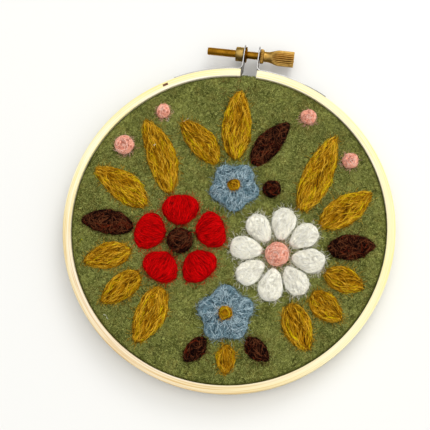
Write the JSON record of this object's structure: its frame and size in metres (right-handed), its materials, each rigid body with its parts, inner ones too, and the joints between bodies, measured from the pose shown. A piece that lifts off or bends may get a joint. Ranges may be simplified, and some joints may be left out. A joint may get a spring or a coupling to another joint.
{
  "type": "felt picture in an embroidery hoop",
  "caption": "Small round wooden embroidery hoop with a brass thumb screw, holding green wool felt with a needle-felted posy of flowers and leaves.",
  "frame": {"origin": "on the resting surface, under the middle of the overall length and width; the rings' centre lies 6 mm from it towards -Y", "axes": "+Z out of the picture, +Y from the rings' centre towards the screw, +X along the screw towards its head; the posy is upright 8 degrees anticlockwise of +Y"},
  "size_m": [0.134, 0.146, 0.0153],
  "materials": {
    "wood": "pale sanded bamboo, unvarnished",
    "felt": "olive green wool felt",
    "steel": "thin plated sheet",
    "brass": "turned, slightly dulled",
    "wool_mustard": "needled wool fibre",
    "wool_brown": "needled wool fibre",
    "wool_red": "needled wool fibre",
    "wool_white": "needled wool fibre",
    "wool_blue": "needled wool fibre",
    "wool_pink": "needled wool fibre"
  },
  "bodies": {
    "hoop": {"outer_ring": "wood", "inner_ring": "wood", "felt_ground": "felt", "strap_left": "steel", "strap_right": "steel", "nut": "brass", "leaf_left_1": "wool_mustard", "leaf_left_2": "wool_mustard", "leaf_left_4": "wool_mustard", "leaf_left_5": "wool_mustard", "leaf_left_6": "wool_mustard", "leaf_right_1": "wool_mustard", "leaf_right_2": "wool_mustard", "leaf_right_4": "wool_mustard", "leaf_right_5": "wool_mustard", "leaf_right_6": "wool_mustard", "leaf_top_1": "wool_mustard", "leaf_top_2": "wool_mustard", "leaf_low_2": "wool_mustard", "leaf_left_3": "wool_brown", "leaf_right_3": "wool_brown", "leaf_top_3": "wool_brown", "leaf_low_1": "wool_brown", "leaf_low_3": "wool_brown", "red_petal_1": "wool_red", "red_petal_2": "wool_red", "red_petal_3": "wool_red", "red_petal_4": "wool_red", "red_petal_5": "wool_red", "red_centre": "wool_brown", "seed_head": "wool_brown", "white_petal_1": "wool_white", "white_petal_2": "wool_white", "white_petal_3": "wool_white", "white_petal_4": "wool_white", "white_petal_5": "wool_white", "white_petal_6": "wool_white", "white_petal_7": "wool_white", "white_petal_8": "wool_white", "white_centre": "wool_pink", "bud_left": "wool_pink", "bud_top_left": "wool_pink", "bud_top_right": "wool_pink", "bud_right": "wool_pink", "blue_low_bloom": "wool_blue", "blue_high_bloom": "wool_blue", "blue_low_centre": "wool_mustard", "blue_high_centre": "wool_mustard"},
    "screw": {"thumb_screw": "brass"}
  },
  "joints": [
    {"name": "screw_turn", "type": "hinge", "parent": "hoop", "child": "screw", "pos_m": [0, 0.069, 0.00645], "axis": [1, 0, 0], "continuous": true}
  ]
}
